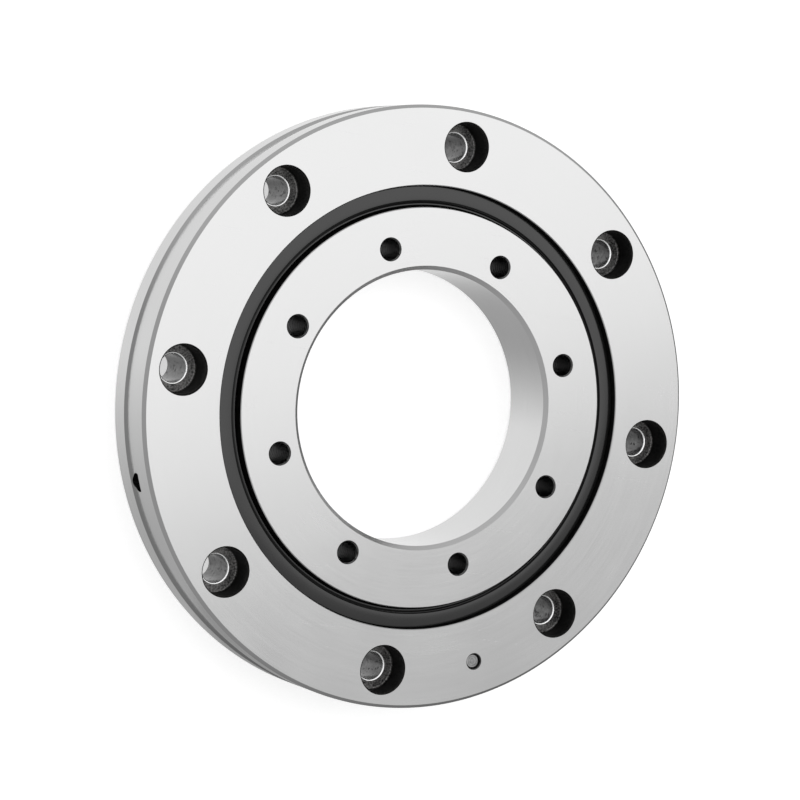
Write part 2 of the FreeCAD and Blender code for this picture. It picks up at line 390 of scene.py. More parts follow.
print("trees:", drilling.name, keeping.name, setting.name, refinishing.name)


# %% Helper: make a plain mesh of what the trees built
SHARP_ANGLE = math.radians(30)


def volume_and_open_edges(mesh):
    """The volume in cubic millimetres, and how many edges don't join two faces."""
    form = bmesh.new()
    form.from_mesh(mesh)
    volume = form.calc_volume(signed=True) / MM ** 3
    loose = sum(1 for edge in form.edges if len(edge.link_faces) != 2)
    form.free()
    return volume, loose


def finished(maker, name, body, slot, *replaced):
    """Makes the evaluated piece a plain mesh that rides on its body."""
    bpy.context.view_layer.update()
    evaluated = maker.evaluated_get(bpy.context.evaluated_depsgraph_get())
    mesh = bpy.data.meshes.new_from_object(evaluated)
    mesh.name = name
    mesh.shade_smooth()
    mesh.set_sharp_from_angle(angle=SHARP_ANGLE)
    piece = new_object(name, mesh)
    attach(piece, body)
    if replaced:
        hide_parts(*replaced)
    mesh.calc_loop_triangles()
    volume, loose = volume_and_open_edges(mesh)
    print("%-15s %6d triangles, %9.1f mm3, %d open edges"
          % (name, len(mesh.loop_triangles), volume, loose))


# %% [markdown]
# ## Finishes
#
# Every finish is worked out from the object's own coordinates. Ground and turned steel carries a lay:
# fine lines that run round the axis. So the patterns use the unit direction about the axis, the
# radius and the height. Noise that is stretched along the direction and squeezed across it gives
# lines that follow the tool, and they change the roughness and a very shallow bump.

# %% Nodes: coordinates about the spin axis
def about_axis(tree):
    """The direction about the axis as a unit vector, the radius and the height."""
    place = add(tree, "ShaderNodeTexCoord").outputs["Object"]
    part = add(tree, "ShaderNodeSeparateXYZ", {"Vector": place}).outputs
    flat = add(tree, "ShaderNodeCombineXYZ", {"X": part["X"], "Y": part["Y"]}).outputs[0]
    radius = add(tree, "ShaderNodeVectorMath", {0: flat}, operation="LENGTH").outputs["Value"]
    direction = add(tree, "ShaderNodeVectorMath", {0: flat}, operation="NORMALIZE").outputs["Vector"]
    return direction, radius, part["Z"]


def noise(tree, vector, scale, detail=3.0):
    """A noise value from 0 to 1."""
    made = add(tree, "ShaderNodeTexNoise", {"Vector": vector, "Scale": scale, "Detail": detail})
    return made.outputs["Fac"]


def ranged(tree, value, low, high, start=0.3, end=0.7):
    """The value carried from one range to another, and held inside it."""
    made = add(tree, "ShaderNodeMapRange", {
        "Value": value, "From Min": start, "From Max": end, "To Min": low, "To Max": high,
    })
    return made.outputs["Result"]


def blended(tree, first, share, second):
    """Two patterns added up: the first with its share, and the second with the rest."""
    rest = calculate(tree, "MULTIPLY", second, 1 - share)
    return calculate(tree, "MULTIPLY_ADD", first, share, rest)


def tool_lines(tree, direction, across, lines_per_metre, turns=5.0):
    """Noise drawn out round the axis into lines, as a grinding wheel leaves."""
    along = add(tree, "ShaderNodeVectorMath", {0: direction, "Scale": turns}, operation="SCALE")
    squeezed = add(tree, "ShaderNodeCombineXYZ", {
        "Z": calculate(tree, "MULTIPLY", across, lines_per_metre),
    })
    vector = add(tree, "ShaderNodeVectorMath", {
        0: along.outputs["Vector"], 1: squeezed.outputs[0],
    }, operation="ADD")
    return noise(tree, vector.outputs["Vector"], scale=1.0)


# %% Nodes: start a material and give it colour and bump
def new_material(name, metallic, **fixed):
    """A material with its constants set on the shader itself."""
    material = bpy.data.materials.new(name)
    material.use_nodes = True
    shader = material.node_tree.nodes["Principled BSDF"]
    shader.inputs["Metallic"].default_value = metallic
    for label, value in fixed.items():
        shader.inputs[label.replace("_", " ")].default_value = value
    return material, material.node_tree, shader


def gray(level, warmth=0.0):
    """A gray, with a little more red and less blue where it is warm."""
    return (level * (1 + warmth), level, level * (1 - warmth), 1.0)


def colour_between(tree, shader, factor, dark, light):
    """Sets the base colour to go between two colours with a pattern, and gives it back."""
    mix = add(tree, "ShaderNodeMix", {"Factor": factor}, data_type="RGBA")
    sockets = [socket for socket in mix.inputs if socket.type == "RGBA"]
    for socket, colour in zip(sockets, (dark, light)):
        if isinstance(colour, bpy.types.NodeSocket):
            tree.links.new(colour, socket)
        else:
            socket.default_value = colour
    result = [socket for socket in mix.outputs if socket.type == "RGBA"][0]
    tree.links.new(result, shader.inputs["Base Color"])
    return result


def bump(tree, shader, height, depth, strength):
    """A bump of the given depth in metres from a height pattern."""
    made = add(tree, "ShaderNodeBump", {"Height": height, "Distance": depth, "Strength": strength})
    tree.links.new(made.outputs["Normal"], shader.inputs["Normal"])


# %% [markdown]
# ## Ground steel
#
# The flat faces of the rings are surface ground after hardening, to a pale satin with barely visible
# lines round the axis, faint clouds and a few handling scratches. The rim, bore and chamfers are
# ground too, but there the lines lie one above the other. So one recipe makes three finishes: the
# faces, the inner ring's walls, and the outer ring's walls, which are slightly darker as painted
# shade.

# %% Material: ground and turned ring steel
SCRATCHES_ALONG = 45.0
SCRATCHES_ACROSS = 2600.0
SCRATCH_ROUGHNESS = 0.03
LAY_SPREAD = 0.03
CLOUD_SPREAD = 0.02
DARK_SHARE = 0.96
LIGHT_SHARE = 1.03


def scratches(tree, place, angle, seed):
    """A few long thin marks at an angle, each from 0 to 1."""
    turned_place = add(tree, "ShaderNodeMapping", {
        "Vector": place,
        "Rotation": (0.0, 0.0, angle),
        "Location": (seed, seed, 0.0),
        "Scale": (SCRATCHES_ALONG, SCRATCHES_ACROSS, SCRATCHES_ALONG),
    }).outputs["Vector"]
    streaks = noise(tree, turned_place, scale=1.0, detail=1.0)
    return ranged(tree, streaks, 0.0, 1.0, start=0.72, end=0.78)


def ring_steel(name, on_face, level, roughness):
    """Ground steel whose lines run round the axis, across the radius or the height."""
    material, tree, shader = new_material(name, metallic=1.0)
    direction, radius, height = about_axis(tree)
    place = add(tree, "ShaderNodeTexCoord").outputs["Object"]
    across = radius if on_face else height
    fine = tool_lines(tree, direction, across, lines_per_metre=9000.0)
    broad = tool_lines(tree, direction, across, lines_per_metre=1800.0, turns=3.0)
    clouds = noise(tree, place, scale=60.0, detail=4.0)
    marks = calculate(
        tree, "MAXIMUM",
        scratches(tree, place, angle=0.5, seed=3.0),
        scratches(tree, place, angle=2.2, seed=7.0),
    )
    lay = blended(tree, broad, 0.5, fine)
    rough = calculate(
        tree, "ADD",
        ranged(tree, lay, roughness - LAY_SPREAD, roughness + LAY_SPREAD),
        ranged(tree, clouds, -CLOUD_SPREAD, CLOUD_SPREAD),
    )
    rough = calculate(tree, "ADD", rough, calculate(tree, "MULTIPLY", marks, SCRATCH_ROUGHNESS))
    tree.links.new(rough, shader.inputs["Roughness"])
    tone = ranged(tree, blended(tree, clouds, 0.5, lay), 0.0, 1.0)
    colour_between(tree, shader, tone, gray(level * DARK_SHARE), gray(level * LIGHT_SHARE))
    bump(tree, shader, calculate(tree, "SUBTRACT", lay, marks), depth=1.0e-6, strength=0.4)
    return material


ground_face = ring_steel("ground_face_steel", True, level=0.64, roughness=0.24)
ground_wall = ring_steel("ground_wall_steel", False, level=0.66, roughness=0.20)
# The outer ring's copy is darker as painted shade: it dims what the rim mirrors.
ground_rim = ring_steel("ground_rim_steel", False, level=0.60, roughness=0.20)
print("ground finishes:", ground_face.name, ground_wall.name, ground_rim.name)

# %% [markdown]
# ## Holes
#
# The holes are machined before hardening, and nothing grinds them afterwards, so most of their walls
# keep the dark scale of the furnace. The counterbores are nearly black, with a mottled floor where the
# tool rubbed. The clearance holes below are brighter and smooth from the drill, with a few black pits,
# and their rounded mouths carry a painted highlight. Each is the same recipe with other numbers.

# %% Material: the walls of holes
COARSE_GRAIN = 1500.0
FINE_GRAIN = 2600.0
GRAIN_SPREAD = 0.06
PIT_GRAY = 0.01


def hole_steel(name, dark, light, roughness, grain=COARSE_GRAIN, pitted=False):
    """Mottled steel with grains to the metre, and a few black pits where it is pitted."""
    material, tree, shader = new_material(name, metallic=0.85)
    place = add(tree, "ShaderNodeTexCoord").outputs["Object"]
    mottle = noise(tree, place, scale=grain, detail=5.0)
    patches = noise(tree, place, scale=350.0, detail=2.0)
    tone = ranged(tree, blended(tree, mottle, 0.7, patches), 0.0, 1.0, start=0.38, end=0.62)
    colour = colour_between(tree, shader, tone, dark, light)
    if pitted:
        pits = noise(tree, place, scale=1300.0, detail=1.0)
        pitting = ranged(tree, pits, 0.0, 1.0, start=0.63, end=0.66)
        colour_between(tree, shader, pitting, colour, gray(PIT_GRAY))
    rough = ranged(tree, mottle, roughness - GRAIN_SPREAD, roughness + GRAIN_SPREAD)
    tree.links.new(rough, shader.inputs["Roughness"])
    bump(tree, shader, mottle, depth=1.0e-5, strength=0.5)
    return material


# The near-black finish is furnace scale in the counterbores, and painted shade on the seal recesses'
# walls.
scale_and_shade_steel = hole_steel("furnace_scale_and_painted_shade", gray(0.008), gray(0.028, warmth=0.02), 0.50)
rubbed_steel = hole_steel("rubbed_floor", gray(0.03), gray(0.25, warmth=0.02), 0.42, FINE_GRAIN)
drilled_steel = hole_steel("drilled_wall", gray(0.08), gray(0.15), 0.20, pitted=True)
# Painted highlight: the rounded mouths' pale colour adds to the highlight their rounding catches.
highlit_mouth_steel = hole_steel("rounded_mouth_painted_highlight", gray(0.80), gray(0.96), 0.24, FINE_GRAIN)
tapped_steel = hole_steel("tapped_wall", gray(0.012), gray(0.045), 0.36, FINE_GRAIN)
hole_finishes = (scale_and_shade_steel, rubbed_steel, drilled_steel, highlit_mouth_steel, tapped_steel)
print("hole finishes:", [finish.name for finish in hole_finishes])

# %% [markdown]
# ## The outer ring
#
# The outer ring is turned from one section: the rim with its shallow flat-bottomed oil groove, the
# two seal seats and the V that the rollers run in. The section repeats its front half mirrored, as
# the real ring is the same at both ends before the counterbores go in.

# %% Section of the outer ring
def mirrored(points):
    """The same points at the rear, in the other order."""
    return [(radius, WIDTH - height) for radius, height in reversed(points)]


def raceway(direction):
    """Front half of a ring's V raceway, from its mouth to the relief at its bottom.

    The direction is 1 for the outer ring and -1 for the inner ring.
    """
    half = RELIEF_WIDTH / 2
    apex = PITCH_RADIUS + direction * CHANNEL_REACH
    mouth = PITCH_RADIUS + direction * LAND_GAP / 2
    return [
        (mouth, MID_PLANE + CHANNEL_REACH - LAND_GAP / 2),
        (apex - direction * half, MID_PLANE + half),
        (apex + direction * RELIEF_DEPTH, MID_PLANE + half),
    ]


def oil_groove():
    """The two corners of the groove's flat bottom, the rear one first."""
    bottom = OUTER_RADIUS - OIL_GROOVE_DEPTH
    half = OIL_GROOVE_WIDTH / 2 - OIL_GROOVE_DEPTH / math.tan(OIL_GROOVE_SLOPE)
    return [(bottom, MID_PLANE - half), (bottom, MID_PLANE + half)]


def outer_ring_section():
    """The outer ring's section, anticlockwise from the groove's front edge."""
    front = [
        (OUTER_RADIUS, MID_PLANE + OIL_GROOVE_WIDTH / 2),
        (OUTER_RADIUS, WIDTH - RIM_CHAMFER),
        (OUTER_RADIUS - RIM_CHAMFER, WIDTH),
        (SEAL_SEAT + EDGE_BREAK, WIDTH),
        (SEAL_SEAT, WIDTH - EDGE_BREAK),
        (SEAL_SEAT, SEAL_BASE),
        (OUTER_LAND, SEAL_BASE),
    ] + raceway(1)
    return front + mirrored(front) + oil_groove()


print("outer ring section:", len(outer_ring_section()), "points")


# %% Helper: a drill from its steps
DRILL_RAIL = 2.1


def drill(name, steps, finish):
    """A drill from its steps of height and radius, lowest first."""
    bottom = steps[0][0]
    top = steps[-1][0]
    walls = [(radius, height) for height, radius in steps]
    return turned(name, [(0, bottom)] + walls + [(0, top)], DRILL_RAIL, finish, HOLE_SEGMENTS)


def turns_between(first, last):
    """Evenly spaced angles of a rounded corner."""
    return [first + (last - first) * i / ROUND_STEPS for i in range(ROUND_STEPS + 1)]


# %% Drills for the outer ring
SCREW_SEAT = WIDTH - COUNTERBORE_DEPTH
CLEARANCE_RADIUS = mount_size("outer_bolts", "hole_r_mm")
MOUTH_DEPTH = OUTER_HOLE_ROUND * (1 - math.sin(EIGHTH_TURN))


def facing_steps():
    """Heights and radii of a tool that cuts the counterbore's floor and its rounded corner."""
    size = COUNTERBORE_CORNER
    middle = COUNTERBORE_RADIUS - size
    arc = [
        (SCREW_SEAT + size - size * math.cos(turn), middle + size * math.sin(turn))
        for turn in turns_between(0, QUARTER_TURN)
    ]
    return arc + [(SCREW_SEAT + OVERCUT, middle)]


def rounding_steps():
    """Heights and radii of a tool that rounds the clearance hole's mouth in the counterbore.

    The arc stops one step short of level, so that the flare above it crosses the floor cleanly.
    """
    size = OUTER_HOLE_ROUND
    middle = CLEARANCE_RADIUS + size * math.cos(EIGHTH_TURN)
    arc = [
        (SCREW_SEAT - size + size * math.sin(turn), middle - size * math.cos(turn))
        for turn in turns_between(EIGHTH_TURN, QUARTER_TURN)[:-1]
    ]
    return arc + [(SCREW_SEAT + OVERCUT, middle + OVERCUT)]


counterbore_drill = drill("counterbore_drill", [
    (SCREW_SEAT + COUNTERBORE_CORNER, COUNTERBORE_RADIUS),
    (WIDTH - COUNTERBORE_CHAMFER, COUNTERBORE_RADIUS),
    (WIDTH + OVERCUT, COUNTERBORE_RADIUS + COUNTERBORE_CHAMFER + OVERCUT),
], scale_and_shade_steel)
facing_drill = drill("facing_drill", facing_steps(), rubbed_steel)
rounding_drill = drill("rounding_drill", rounding_steps(), highlit_mouth_steel)
clearance_drill = drill("clearance_drill", [
    (-OVERCUT, CLEARANCE_RADIUS + OUTER_HOLE_CHAMFER + OVERCUT),
    (OUTER_HOLE_CHAMFER, CLEARANCE_RADIUS),
    (SCREW_SEAT - MOUTH_DEPTH / 2, CLEARANCE_RADIUS),
], drilled_steel)
pin_drill = drill("pin_drill", [
    (-OVERCUT, PIN_RADIUS + PIN_GAP + PIN_HOLE_CHAMFER + OVERCUT),
    (PIN_HOLE_CHAMFER, PIN_RADIUS + PIN_GAP),
    (WIDTH - PIN_HOLE_CHAMFER, PIN_RADIUS + PIN_GAP),
    (WIDTH + OVERCUT, PIN_RADIUS + PIN_GAP + PIN_HOLE_CHAMFER + OVERCUT),
], drilled_steel)


def radial_drill(name, radius, finish):
    """A straight drill that reaches from the pitch circle past the rim."""
    return drill(name, [(PITCH_RADIUS, radius), (OUTER_RADIUS + OVERCUT, radius)], finish)


oil_drill = radial_drill("oil_drill", OIL_HOLE_RADIUS, tapped_steel)
plug_drill = radial_drill("plug_drill", PLUG_RADIUS, ground_rim)
plug_core = radial_drill("plug_core", PLUG_RADIUS - PLUG_GAP, ground_rim)
print("sections and drills so far:", len(helpers))

# %% Turn and drill the outer ring
RECESS_MARGIN = 0.05


def machined(piece, tree, tool, count=1, circle=0.0, height=0.0, first=0.0, tilt=0.0):
    """One more machining step on a ring."""
    return apply_tree(
        piece, tree, Tool=tool, Count=count, Circle=circle * MM, Height=height * MM, First=first,
        Tilt=tilt, Middle=MID_PLANE * MM, Ground=ground_face,
    )


def shade_recess_walls(piece, inner, outer):
    """Gives the turned walls between two radii the near-black finish, as painted shade in the seal
    recesses.
    """
    return apply_tree(
        piece, refinishing, Inner=(inner - RECESS_MARGIN) * MM, Outer=(outer + RECESS_MARGIN) * MM,
        Top=(WIDTH - EDGE_BREAK) * MM, Finish=scale_and_shade_steel,
    )


outer_bolt_count = mount_size("outer_bolts", "count")
maker = turned("outer_ring_maker", outer_ring_section(), PITCH_RADIUS, ground_rim)
for tool in (counterbore_drill, facing_drill, rounding_drill, clearance_drill):
    machined(maker, drilling, tool, outer_bolt_count, OUTER_BOLT_CIRCLE)
machined(maker, drilling, pin_drill, circle=PIN_CIRCLE, first=PLUG_ANGLE)
machined(maker, drilling, oil_drill, height=MID_PLANE, first=OIL_HOLE_ANGLE, tilt=QUARTER_TURN)
machined(maker, drilling, plug_drill, height=MID_PLANE, first=PLUG_ANGLE, tilt=QUARTER_TURN)
# Painted shade on the outer ring's seal seat wall.
shade_recess_walls(maker, OUTER_LAND, SEAL_SEAT)
finished(maker, "outer_ring_body", "outer_ring", "ring_steel", "outer_ring")

# %% [markdown]
# ## The filler plug and its pin
#
# The rollers go in one by one through a bore in the rim. A plug closes it and is ground together with
# the ring, so the plug is the ring's own section kept inside a slightly thinner drill. A pin driven
# in from the face locks it. Its end is cut off dull, a little below the face.

# %% Filler plug
maker = turned("plug_maker", outer_ring_section(), PITCH_RADIUS, ground_rim)
machined(maker, keeping, plug_core, height=MID_PLANE, first=PLUG_ANGLE, tilt=QUARTER_TURN)
machined(maker, drilling, pin_drill, circle=PIN_CIRCLE, first=PLUG_ANGLE)
finished(maker, "filler_plug_body", "outer_ring", "ring_steel", "filler_plug")


# %% Material: the pin's dull end
def pin_steel():
    """A cut end with rings about the pin's own middle and coarse marks."""
    material, tree, shader = new_material("dull_pin_steel", metallic=1.0)
    place = add(tree, "ShaderNodeTexCoord").outputs["Object"]
    centred = add(tree, "ShaderNodeMapping", {
        "Vector": place, "Location": (-pin_middle.x, -pin_middle.y, 0.0),
    }).outputs["Vector"]
    rings = add(tree, "ShaderNodeTexWave", {
        "Vector": centred, "Scale": 700.0, "Distortion": 3.0, "Detail": 2.0,
    }, wave_type="RINGS", rings_direction="Z").outputs["Fac"]
    pits = noise(tree, place, scale=2200.0, detail=4.0)
    tone = blended(tree, rings, 0.25, pits)
    colour_between(tree, shader, ranged(tree, tone, 0.0, 1.0), gray(0.20), gray(0.46))
    tree.links.new(ranged(tree, pits, 0.34, 0.52), shader.inputs["Roughness"])
    bump(tree, shader, tone, depth=2.0e-5, strength=0.7)
    return material


# %% Plug pin
PIN_CHAMFER = 0.25
pin_blank = drill("pin_blank", [
    (WIDTH - PIN_TOP, PIN_RADIUS - PIN_CHAMFER),
    (WIDTH - PIN_TOP + PIN_CHAMFER, PIN_RADIUS),
    (PIN_TOP - PIN_CHAMFER, PIN_RADIUS),
    (PIN_TOP, PIN_RADIUS - PIN_CHAMFER),
], None)


def placed(name, tool, finish, count=1, circle=0.0, height=0.0, first=0.0):
    """Copies of a small piece, set on a circle."""
    return apply_tree(
        helper_object(name), setting, Tool=tool, Count=count, Circle=circle * MM, Height=height * MM,
        First=first, Tilt=0.0, Finish=finish,
    )


maker = placed("pin_maker", pin_blank, pin_steel(), circle=PIN_CIRCLE, first=PLUG_ANGLE)
finished(maker, "plug_pin_body", "outer_ring", "pin_steel", "plug_pin")

# %% [markdown]
# ## The inner ring
#
# The inner ring is turned and drilled the same way. Its eight holes are countersunk at both ends and
# tapped right through. The thread is a real helix: a spiral with a small ridged section swept along
# it, set in each hole. A bump would look the same from the front but would be gone from the exported
# shape.

# %% Section and drill of the inner ring
def inner_ring_section():
    """The inner ring's section, clockwise, so it is read backwards."""
    front = [
        (BORE_RADIUS, WIDTH - BORE_CHAMFER),
        (BORE_RADIUS + BORE_CHAMFER, WIDTH),
        (SEAL_RUN - EDGE_BREAK, WIDTH),
        (SEAL_RUN, WIDTH - EDGE_BREAK),
        (SEAL_RUN, SEAL_BASE - SHOULDER_DROP),
        (INNER_LAND, SEAL_BASE - SHOULDER_DROP),
    ] + raceway(-1)
    return (front + mirrored(front))[::-1]


print("inner ring section:", len(inner_ring_section()), "points")
core_drill = drill("core_drill", [
    (-OVERCUT, THREAD_CORE_RADIUS + COUNTERSINK_DEPTH + OVERCUT),
    (COUNTERSINK_DEPTH, THREAD_CORE_RADIUS),
    (WIDTH - COUNTERSINK_DEPTH, THREAD_CORE_RADIUS),
    (WIDTH + OVERCUT, THREAD_CORE_RADIUS + COUNTERSINK_DEPTH + OVERCUT),
], drilled_steel)
THREAD_ROOT_RADIUS = THREAD_CORE_RADIUS + THREAD_HEIGHT
THREAD_RUNOUT = 0.6
tapping_drill = drill("tapping_drill", [
    (COUNTERSINK_DEPTH, THREAD_CORE_RADIUS - THREAD_HEIGHT),
    (THREAD_RUNOUT, THREAD_ROOT_RADIUS),
    (WIDTH - THREAD_RUNOUT, THREAD_ROOT_RADIUS),
    (WIDTH - COUNTERSINK_DEPTH, THREAD_CORE_RADIUS - THREAD_HEIGHT),
], tapped_steel)

# %% Turn and drill the inner ring
inner_bolt_count = mount_size("inner_bolts", "count")
maker = turned("inner_ring_maker", inner_ring_section(), PITCH_RADIUS, ground_wall)
for tool in (core_drill, tapping_drill):
    machined(maker, drilling, tool, inner_bolt_count, INNER_BOLT_CIRCLE, first=INNER_BOLT_ANGLE)
# Painted shade in the inner ring's recess under the seal.
shade_recess_walls(maker, SEAL_RUN, INNER_LAND)
finished(maker, "inner_ring_body", "inner_ring", "ring_steel", "inner_ring")

# %% Tree: a thread ridge
POINTS_PER_TURN = 24
threading, given, group_output = geometry_tree(
    "threading", Section="Object", Radius="Number", Pitch="Number", Length="Number", Finish="Material"
)
ridge = add(threading, "GeometryNodeObjectInfo", {"Object": given["Section"]})
ridge_line = add(threading, "GeometryNodeMeshToCurve", {"Mesh": ridge.outputs["Geometry"]})
spiral = add(threading, "GeometryNodeCurveSpiral", {
    "Resolution": POINTS_PER_TURN,
    "Rotations": calculate(threading, "DIVIDE", given["Length"], given["Pitch"]),
    "Start Radius": given["Radius"],
    "End Radius": given["Radius"],
    "Height": given["Length"],
})
helix = add(threading, "GeometryNodeSetCurveNormal", {"Curve": spiral.outputs["Curve"]}, mode="Z_UP")
thread = add(threading, "GeometryNodeCurveToMesh", {
    "Curve": helix.outputs["Curve"],
    "Profile Curve": ridge_line.outputs["Curve"],
    "Fill Caps": True,
})
finish_tree(threading, thread.outputs["Mesh"], given["Finish"], group_output)
print("threading tree:", len(threading.nodes), "nodes")

# %% Threads in the eight tapped holes
THREAD_FOOTING = 0.04
THREAD_BASE = 0.62 * THREAD_PITCH
THREAD_CREST = 0.16 * THREAD_PITCH
ridge_section = draw_section("ridge_section", [
    (THREAD_FOOTING, -THREAD_BASE / 2),
    (THREAD_FOOTING, THREAD_BASE / 2),
    (-THREAD_HEIGHT, THREAD_CREST / 2),
    (-THREAD_HEIGHT, -THREAD_CREST / 2),
], closed_line=True)
one_thread = apply_tree(
    helper_object("one_thread"), threading, Section=ridge_section, Radius=THREAD_ROOT_RADIUS * MM,
    Pitch=THREAD_PITCH * MM, Length=(WIDTH - 2 * THREAD_RUNOUT) * MM, Finish=tapped_steel,
)
maker = placed("threads_maker", one_thread, tapped_steel, inner_bolt_count, INNER_BOLT_CIRCLE,
               height=THREAD_RUNOUT, first=INNER_BOLT_ANGLE)
finished(maker, "tapped_threads", "inner_ring", "ring_steel")

# %% [markdown]
# ## Seals
#
# A seal is moulded rubber: a web held in the outer ring, a groove, and a thin lip that runs on the
# inner ring. The web falls a little toward its bevelled outer edge. The lip's ridge shows as a fine
# line between two dark ones, so the section follows it. Moulded corners are round, which the turning
# tree's corner input gives.

# %% Material: moulded rubber
def rubber():
    """Dark nitrile with a faint bloom and the fine grain of its mould."""
    material, tree, shader = new_material("moulded_rubber", metallic=0.0, Specular_IOR_Level=0.72)
    direction, radius, _ = about_axis(tree)
    place = add(tree, "ShaderNodeTexCoord").outputs["Object"]
    grain = noise(tree, place, scale=5200.0)
    bloom = noise(tree, place, scale=120.0, detail=4.0)
    flow = tool_lines(tree, direction, radius, lines_per_metre=2600.0)
    tone = blended(tree, bloom, 0.6, flow)
    colour_between(tree, shader, ranged(tree, tone, 0.0, 1.0), gray(0.003), gray(0.008))
    tree.links.new(ranged(tree, tone, 0.15, 0.21), shader.inputs["Roughness"])
    bump(tree, shader, grain, depth=6.0e-6, strength=0.4)
    return material


# %% Front and rear seals
SEAL_FIT = 0.02
SEAL_LIP_WIDTH = 0.7
SEAL_LIP_LAND = 0.22
SEAL_LIP_HEIGHT = 0.95
SEAL_LIP_CLEARANCE = 0.08
SEAL_GROOVE_WIDTH = 0.65
SEAL_GROOVE_FLOOR = 0.5
SEAL_EDGE_WIDTH = 0.2
SEAL_EDGE_DEPTH = 0.3
SEAL_WEB_FALL = 0.08
SEAL_CORNER = 0.07


def seal_section():
    """The front seal's section, anticlockwise from the bottom of its rim."""
    rim = SEAL_SEAT - SEAL_FIT
    lip_edge = SEAL_RUN + SEAL_LIP_WIDTH
    web_edge = lip_edge + SEAL_GROOVE_WIDTH
    tip = SEAL_RUN + SEAL_LIP_CLEARANCE
    floor_height = SEAL_BASE + SEAL_GROOVE_FLOOR
    ridge_height = SEAL_BASE + SEAL_LIP_HEIGHT
    return [
        (rim, SEAL_BASE),
        (rim, SEAL_CROWN - SEAL_EDGE_DEPTH),
        (rim - SEAL_EDGE_WIDTH, SEAL_CROWN - SEAL_WEB_FALL),
        (web_edge, SEAL_CROWN),
        (web_edge - EDGE_BREAK, floor_height),
        (lip_edge, ridge_height),
        (lip_edge - SEAL_LIP_LAND, ridge_height),
        (tip, floor_height),
        (tip, floor_height - EDGE_BREAK),
        (lip_edge, SEAL_BASE),
    ]


seal_rubber = rubber()
front_points = seal_section()
for name, points in (("front_seal", front_points), ("rear_seal", mirrored(front_points))):
    maker = turned(name + "_maker", points, PITCH_RADIUS, seal_rubber, corner=SEAL_CORNER)
    finished(maker, name + "_body", "outer_ring", "seal_rubber", name)

# %% [markdown]
# ## Rollers and spacers
#
# These stay as the frame has them, because their shapes are exact and they are closed in between the
# rings. They still get the finish of the real thing: lapped steel and natural moulded plastic.

# %% Materials: lapped rollers and moulded spacers
def lapped_steel():
    """Bright lapped steel with faint clouds."""
    material, tree, shader = new_material("lapped_roller_steel", metallic=1.0)
    place = add(tree, "ShaderNodeTexCoord").outputs["Object"]
    clouds = noise(tree, place, scale=400.0, detail=4.0)
    fine = noise(tree, place, scale=9000.0, detail=2.0)
    colour_between(tree, shader, ranged(tree, clouds, 0.0, 1.0), gray(0.68), gray(0.74))
    tree.links.new(ranged(tree, clouds, 0.10, 0.16), shader.inputs["Roughness"])
    bump(tree, shader, fine, depth=4.0e-7, strength=0.4)
    return material


def spacer_plastic():
    """Natural acetal: creamy, smooth and a little waxy."""
    material, tree, shader = new_material("moulded_spacer_plastic", metallic=0.0)
    place = add(tree, "ShaderNodeTexCoord").outputs["Object"]
    clouds = noise(tree, place, scale=300.0)
    fine = noise(tree, place, scale=4000.0, detail=2.0)
    dark, light = gray(0.72, warmth=0.05), gray(0.79, warmth=0.05)
    colour_between(tree, shader, ranged(tree, clouds, 0.0, 1.0), dark, light)
    tree.links.new(ranged(tree, fine, 0.36, 0.46), shader.inputs["Roughness"])
    bump(tree, shader, fine, depth=3.0e-6, strength=0.4)
    return material


inside_finishes = {"roller": lapped_steel(), "spacer": spacer_plastic()}
for name, node in frame["nodes"].items():
    finish = inside_finishes.get(name.split("_")[0])
    if finish:
        node.data.materials.clear()
        node.data.materials.append(finish)
print("finishes on the rolling parts:", [finish.name for finish in inside_finishes.values()])

# %% Clear away the sections, drills and makers
for helper in helpers:
    bpy.data.objects.remove(helper)

# %% [markdown]
# ## Floor and light
#
# Bare steel has hardly any colour of its own and shows what is round it, so the light is set for its
# reflections. In the photograph the bearing stands on its edge. What lies under this one was behind
# that one: a white backdrop, with a gray table at the picture's foot and a dark horizon between. So
# the pale floor catches the light and the shadow, but lets mirrored rays through to a world that
# carries those three. Its brightness goes only by direction: up or down and along the picture, with a
# horizon that leans a little to one side. The table came close to the rim at its foot, in shade there.
# A dim glowing card under the floor stands for it: a painted reflection of that shade, in the rim
# alone.

# %% Helper: a flat sheet
def flat_sheet(name, corners):
    """A sheet of one face, from its four corners in metres."""
    mesh = bpy.data.meshes.new(name)
    mesh.from_pydata(corners, [], [(0, 1, 2, 3)])
    return new_object(name, mesh)


# %% Floor
FLOOR_HALF = 4.0
FLOOR_GRAY = 0.78
CAMERA_LIFT = 0.56
floor = flat_sheet("studio_floor", [
    (-FLOOR_HALF, -FLOOR_HALF, 0.0),
    (FLOOR_HALF, -FLOOR_HALF, 0.0),
    (FLOOR_HALF, FLOOR_HALF, 0.0),
    (-FLOOR_HALF, FLOOR_HALF, 0.0),
])

floor_material, tree, shader = new_material(
    "pale_floor", metallic=0.0, Base_Color=gray(FLOOR_GRAY), Roughness=0.9, Specular_IOR_Level=0.1,
    Emission_Color=gray(1.0),
)
rays = add(tree, "ShaderNodeLightPath").outputs
lift = calculate(tree, "MULTIPLY", rays["Is Camera Ray"], CAMERA_LIFT)
tree.links.new(lift, shader.inputs["Emission Strength"])
mirrored_rays = calculate(tree, "MAXIMUM", rays["Is Glossy Ray"], rays["Is Transmission Ray"])
see_through = add(tree, "ShaderNodeBsdfTransparent").outputs[0]
surface = add(tree, "ShaderNodeMixShader", {0: mirrored_rays, 1: shader.outputs[0], 2: see_through})
tree.links.new(surface.outputs[0], tree.nodes["Material Output"].inputs["Surface"])
floor.data.materials.append(floor_material)
print("floor material:", len(tree.nodes), "nodes")

